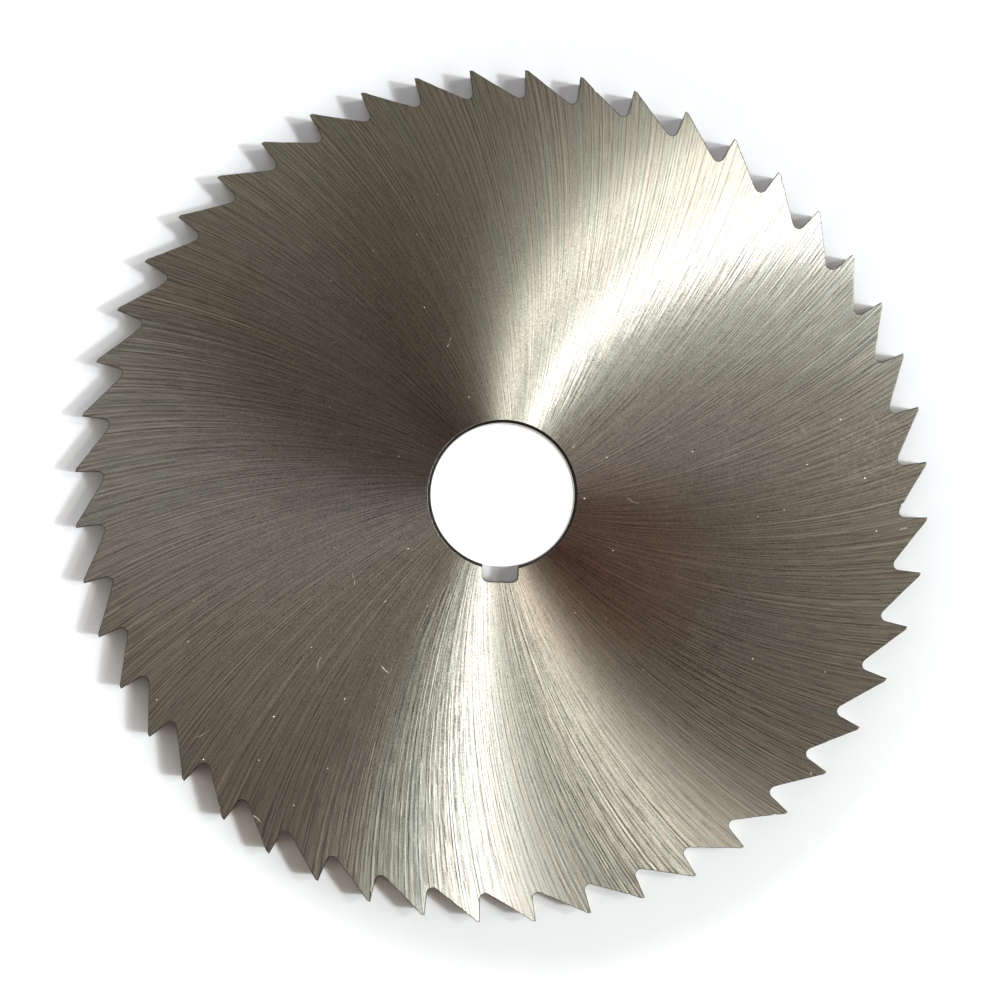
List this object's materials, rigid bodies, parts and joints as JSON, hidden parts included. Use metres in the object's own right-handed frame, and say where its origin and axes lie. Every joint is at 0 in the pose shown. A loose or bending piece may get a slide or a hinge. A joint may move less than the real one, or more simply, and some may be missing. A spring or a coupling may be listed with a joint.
{
  "type": "slitting saw",
  "caption": "Flat round saw for a milling arbor: a toothed steel disc with hollow-ground sides and a keyed bore.",
  "frame": {"origin": "on the bore's axis, in the plane that the teeth's lower side lies on", "axes": "+Z along the bore's axis, up from the surface the saw lies on; -Y from the bore through its keyway"},
  "size_m": [0.15, 0.15, 0.006],
  "materials": {
    "ground_tool_steel": "satin, with fine curved grinding lines that run from the bore to the teeth"
  },
  "bodies": {
    "root": {"saw_blade": "ground_tool_steel"}
  },
  "joints": []
}
